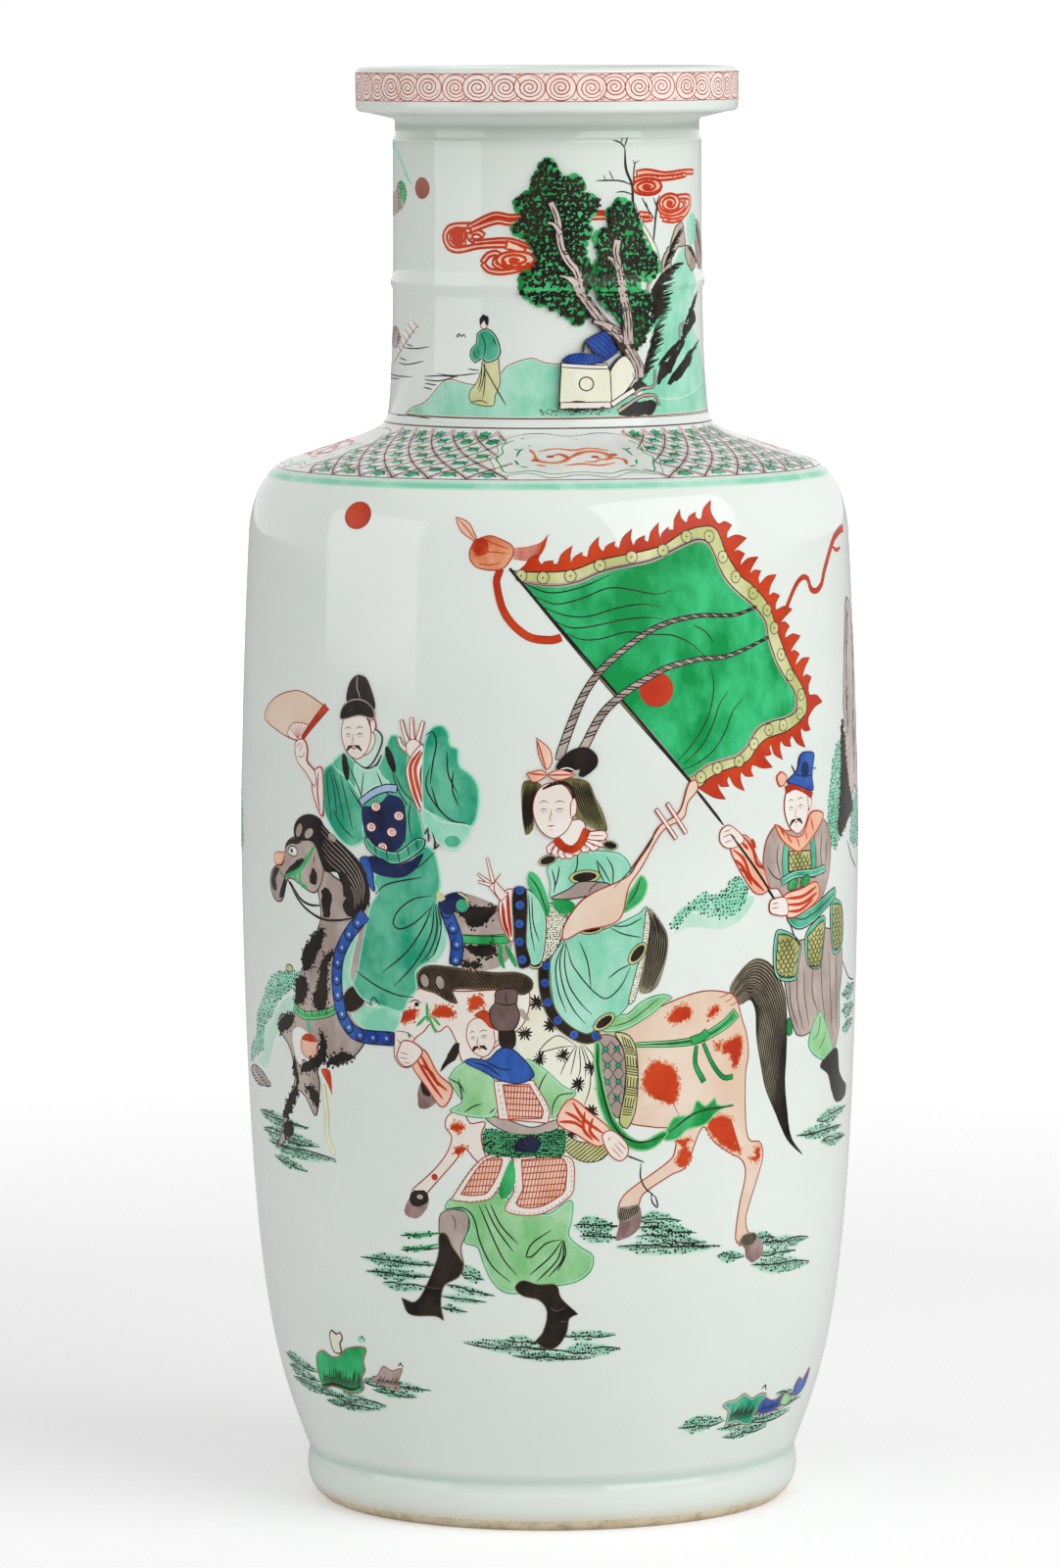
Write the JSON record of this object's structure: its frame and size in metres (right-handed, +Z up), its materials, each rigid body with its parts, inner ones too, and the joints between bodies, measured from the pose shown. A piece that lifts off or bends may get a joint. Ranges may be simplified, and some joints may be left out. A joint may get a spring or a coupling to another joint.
{
  "type": "famille verte vase",
  "caption": "Tall porcelain vase with a straight neck, dished mouth, sloping shoulder and low turned foot, painted in green, red and purple enamels.",
  "frame": {"origin": "centre of the foot on the surface that the vase stands on", "axes": "+Z up the vase's own axis, +Y away from the painted front, +X to the right of the front"},
  "size_m": [0.1986, 0.1986, 0.46],
  "materials": {
    "glaze": "clear glossy glaze, faintly green",
    "lip_glaze": "clear glossy glaze, thin and warmer on the edge",
    "slip": "matt fired slip"
  },
  "bodies": {
    "root": {"foot_section": "glaze", "lower_body": "glaze", "upper_body": "glaze", "shoulder_section": "glaze", "lower_neck": "glaze", "upper_neck": "glaze", "dished_mouth": "lip_glaze", "foot_lute": "slip", "body_lute": "slip", "shoulder_lute": "slip", "neck_root_lute": "slip", "neck_rib_lute": "slip", "mouth_lute": "slip"}
  },
  "joints": []
}
